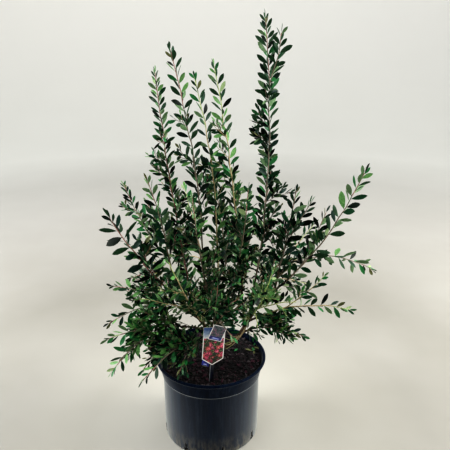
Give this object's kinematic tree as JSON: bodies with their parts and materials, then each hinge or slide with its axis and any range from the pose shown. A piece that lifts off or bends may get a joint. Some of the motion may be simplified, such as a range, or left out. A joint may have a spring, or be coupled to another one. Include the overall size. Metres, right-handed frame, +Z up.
{
  "type": "potted bottlebrush shrub",
  "caption": "Young weeping bottlebrush shrub with tall leafy wands and drooping side shoots, built together with its black nursery container and a plain plant label.",
  "frame": {"origin": "centre of the container's flat underside, on the floor", "axes": "+Z up along the container's axis, +X to the viewer's right, -Y towards the viewer and the plant label"},
  "size_m": [1.0138, 0.7581, 1.5245],
  "materials": {
    "pot_plastic": "dusty satin black",
    "potting_bark": "rough dark bark mulch",
    "trunk_bark": "rough furrowed bark",
    "bough_bark": "thin fibrous bark",
    "foliage": "leathery satin green",
    "label_card": "satin printed plastic card"
  },
  "bodies": {
    "root": {"pot": "pot_plastic", "bark_mulch": "potting_bark", "plant_label": "label_card", "label_flap": "label_card", "trunk": "trunk_bark", "middle_limb": "trunk_bark", "left_limb": "trunk_bark", "right_limb": "trunk_bark", "front_limb": "trunk_bark", "back_limb": "trunk_bark", "tall_far_left_bough": "bough_bark", "tall_left_bough": "bough_bark", "tall_thin_bough": "bough_bark", "tall_middle_bough": "bough_bark", "tall_right_bough": "bough_bark", "left_bough_tip_bough": "bough_bark", "upper_left_bough": "bough_bark", "left_low_bough": "bough_bark", "left_drooping_bough": "bough_bark", "front_left_low_bough": "bough_bark", "right_bough_tip_bough": "bough_bark", "right_low_bough": "bough_bark", "right_drooping_bough": "bough_bark", "right_upper_bough": "bough_bark", "front_right_bough": "bough_bark", "front_left_bough": "bough_bark", "front_middle_bough": "bough_bark", "inner_left_bough": "bough_bark", "inner_right_bough": "bough_bark", "back_left_bough": "bough_bark", "back_middle_left_bough": "bough_bark", "back_middle_right_bough": "bough_bark", "back_right_bough": "bough_bark", "back_far_right_bough": "bough_bark", "tall_far_left": "foliage", "tall_left": "foliage", "tall_thin": "foliage", "tall_middle": "foliage", "tall_right": "foliage", "left_bough_tip": "foliage", "upper_left": "foliage", "left_low": "foliage", "left_drooping": "foliage", "front_left_low": "foliage", "right_bough_tip": "foliage", "right_low": "foliage", "right_drooping": "foliage", "right_upper": "foliage", "front_right": "foliage", "front_left": "foliage", "front_middle": "foliage", "inner_left": "foliage", "inner_right": "foliage", "back_left": "foliage", "back_middle_left": "foliage", "back_middle_right": "foliage", "back_right": "foliage", "back_far_right": "foliage"}
  },
  "joints": []
}
